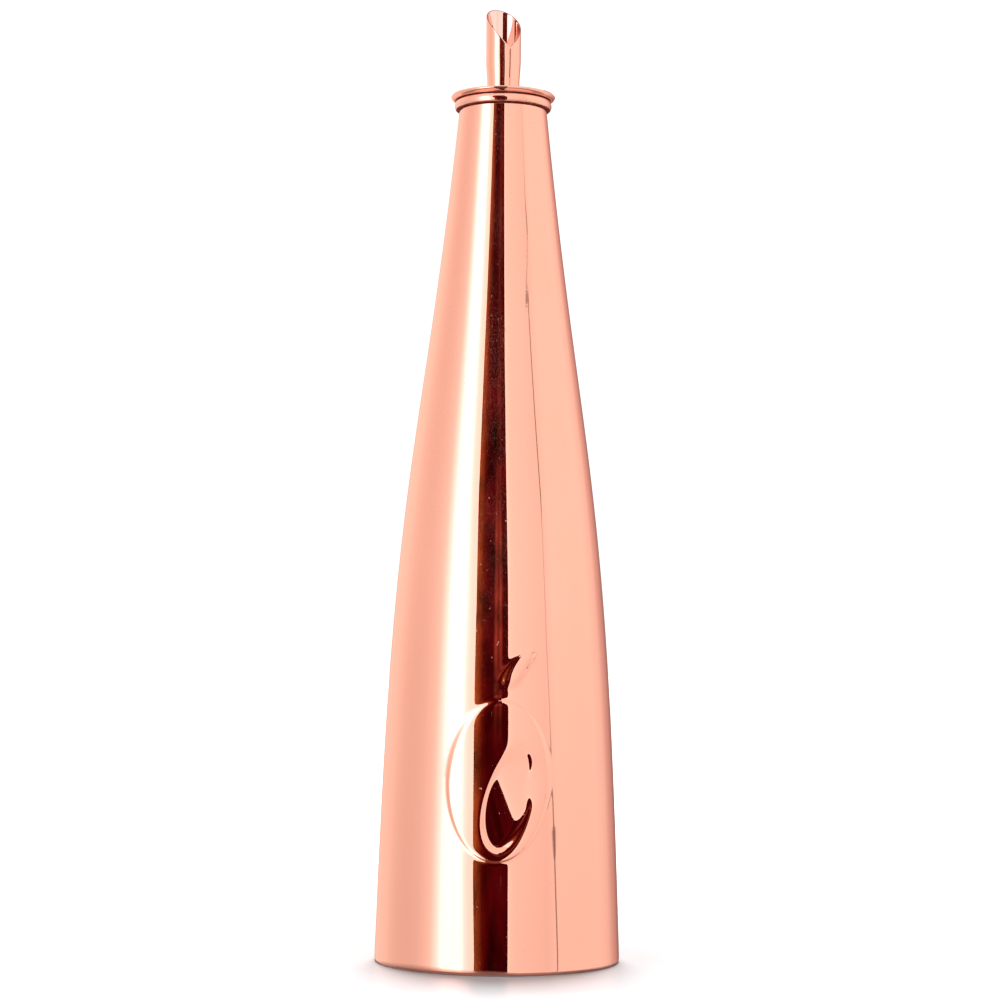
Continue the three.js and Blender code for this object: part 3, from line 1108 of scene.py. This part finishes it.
def floor_material():
    """Pale, slightly glossy table top, with a painted glow that fades out near the bottle."""
    material, n, place = new_material("floor")
    cloud = n.noise(place, 4.0, 2.0)
    grain = n.noise(place, 900.0, 2.0)
    n.surface(
        "ShaderNodeBsdfPrincipled", Roughness=0.3, Specular_IOR_Level=0.06,
        Base_Color=n.mix(cloud, *FLOOR_COLORS),
        # Painted glow: none near the bottle, rising further out.
        Emission_Color=(1.0, 1.0, 1.0, 1.0),
        Emission_Strength=n.curve(n.length(place), FLOOR_PAINTED_GLOW),
        Normal=n.bump(grain, 0.1, 0.00005),
    )
    return material


def floor():
    """The table top. The bottle's reflections see the dim ground far below in its place."""
    table = level_square("floor", 0.0, floor_material())
    table.visible_glossy = False


# Light from the ground far under the floor, by distance from the bottle in metres, and the same
# for the strip of it that lies towards the dark gap.
GROUND = [
    (0.0, (0.95, 0.80, 0.85)),
    (1.25, (0.95, 0.85, 0.85)),
    (1.5, (0.42, 0.33, 0.30)),
    (2.4, (0.42, 0.33, 0.30)),
    (3.0, (0.85, 0.76, 0.74)),
]
GROUND_STRIP = [
    (0.0, (0.060, 0.004, 0.004)),
    (1.1, (0.060, 0.004, 0.004)),
    (1.4, (0.200, 0.085, 0.050)),
    (3.0, (0.200, 0.085, 0.050)),
]
STRIP_BY_ANGLE = [(-26, 0.0), (-24, 1.0), (8, 1.0), (10, 0.0)]


def ground_material():
    """Dim light from the ground, dimmer and redder in the strip towards the dark gap."""
    material, n, place = new_material("dim_ground")
    axes = n.axes(place)
    distance = n.length(n.vector(axes[0], axes[1]))
    strip = n.curve(n.turn(axes), STRIP_BY_ANGLE)
    color = n.mix(strip, light_ramp(n, distance, GROUND), light_ramp(n, distance, GROUND_STRIP))
    n.surface("ShaderNodeEmission", Color=color, Strength=BRIGHTEST)
    return material


def dim_ground():
    """Dim ground far under the floor, which only reflections see."""
    ground = level_square("dim_ground", WALL_LOW_M, ground_material())
    ground.visible_camera = False
    ground.visible_diffuse = False


BACK_LIGHT_PLACE = (0.0, 0.50, 2.45)
BACK_LIGHT_SIZE = 0.55
BACK_LIGHT_WATTS = 130.0
SKY_STRENGTH = 1.15


def back_light():
    """A soft light high up and a little behind, which lays the short shadow in front of the foot."""
    data = bpy.data.lights.new("back_light", "AREA")
    data.shape = "DISK"
    data.size = BACK_LIGHT_SIZE
    data.energy = BACK_LIGHT_WATTS
    light = bpy.data.objects.new("back_light", data)
    light.location = BACK_LIGHT_PLACE
    light.rotation_euler = (-math.atan2(BACK_LIGHT_PLACE[1], BACK_LIGHT_PLACE[2]), 0.0, 0.0)
    light.visible_camera = False
    light.visible_glossy = False
    bpy.context.scene.collection.objects.link(light)


def sky():
    """White light from everywhere above the walls."""
    world = bpy.data.worlds.new("studio")
    bpy.context.scene.world = world
    n = Nodes(world)
    shader = n.add("ShaderNodeBackground", Color=grey(1.0), Strength=SKY_STRENGTH)
    n.add("ShaderNodeOutputWorld", Surface=shader.outputs[0])


# ---------------------------------------------------------------- assembly

add_camera()
bpy.context.scene.view_settings.view_transform = "Standard"

COPPER = copper_material("copper_plate", PLATING)
THIN_COPPER = copper_material("thin_copper", THIN_PLATING)
TARNISHED = tarnished_material()
STEEL = drawn_steel_material()
PLASTIC = stopper_material()
SILICONE = silicone_material()

assign(copper_shell(COPPER), "bottle", "copper_plate", "bottle_shell")
assign(mouth_bead(COPPER), "bottle", "copper_plate", "neck_ring")
assign(base_pan(COPPER), "bottle", "copper_plate", "base_plate")
assign(flared_dish(COPPER), "pourer", "copper_plate", "drip_dish")
assign(rolled_spout(COPPER, THIN_COPPER, TARNISHED), "pourer", "copper_plate", "spout_tube")
assign(breather(STEEL), "pourer", "bare_steel", "vent_tube")
assign(stopper_core(PLASTIC), "pourer", "stopper_plastic", "plug_core")
for number, seal_height in enumerate(SEAL_HEIGHTS, start=1):
    assign(seal(number, seal_height, SILICONE), "seals", "silicone", f"seal_ring_{number}")

studio_walls()
floor()
dim_ground()
back_light()
sky()
